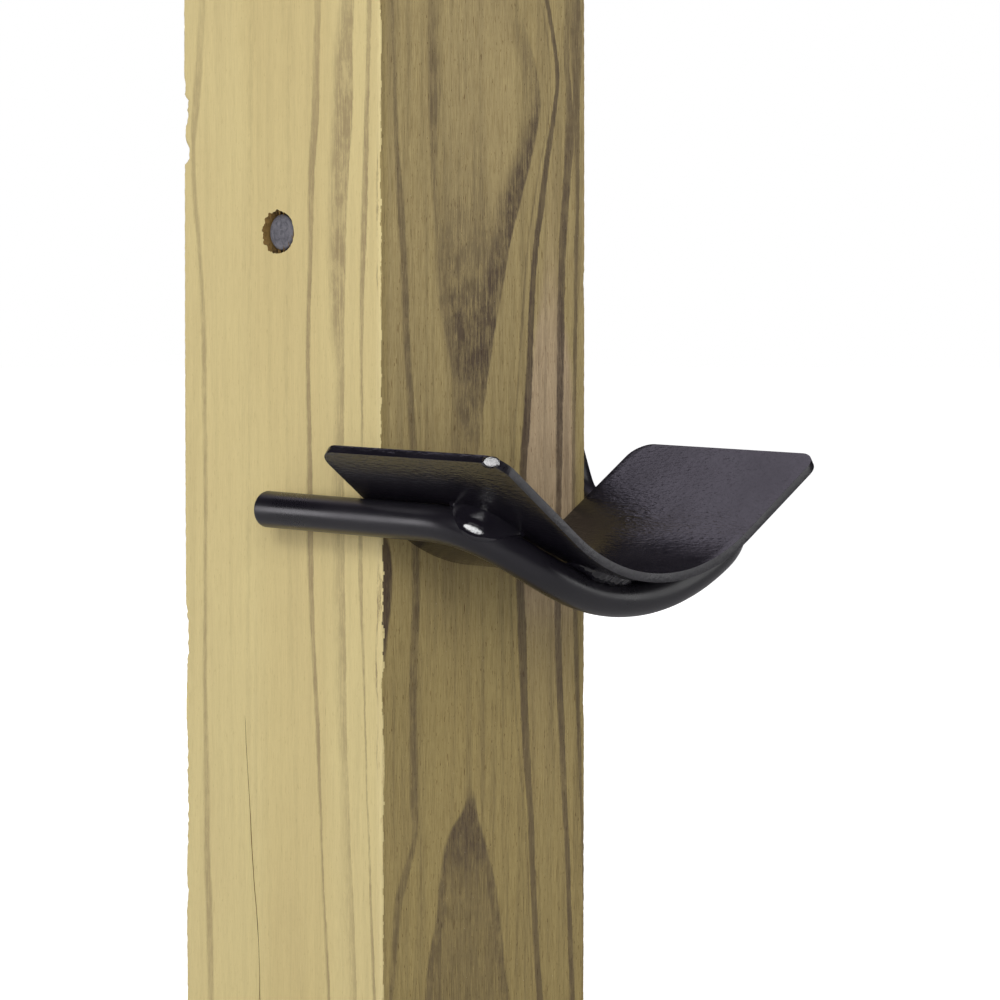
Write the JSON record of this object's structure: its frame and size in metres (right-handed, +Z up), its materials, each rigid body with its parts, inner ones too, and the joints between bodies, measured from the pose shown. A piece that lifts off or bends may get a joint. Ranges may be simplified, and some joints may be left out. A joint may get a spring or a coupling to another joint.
{
  "type": "swinging gate rest on a timber post",
  "caption": "Section of square timber post with a black steel bar that pivots on its own bent pin and carries a welded plate trough, a rest for the end of a gate or rail.",
  "frame": {"origin": "centre of the post's sawn foot", "axes": "+Z up along the post, -Y out of the face that carries the trough, +X the side the pin goes in from"},
  "size_m": [0.1416, 0.1648, 0.318],
  "materials": {
    "treated_pine": "sawn and dressed softwood, weathered, green-yellow treated pine",
    "black_paint": "semi-gloss black dip paint with orange peel"
  },
  "bodies": {
    "post": {"timber_post": "treated_pine"},
    "cradle": {"support_rod": "black_paint", "cradle_plate": "black_paint", "weld_front_left": "black_paint", "weld_front_right": "black_paint", "weld_left_bend": "black_paint", "weld_right_bend": "black_paint"}
  },
  "joints": [
    {"name": "cradle_swing", "type": "hinge", "parent": "post", "child": "cradle", "pos_m": [0, 0, 0.243], "axis": [-1, 0, 0], "range_deg": [0, 120]}
  ]
}
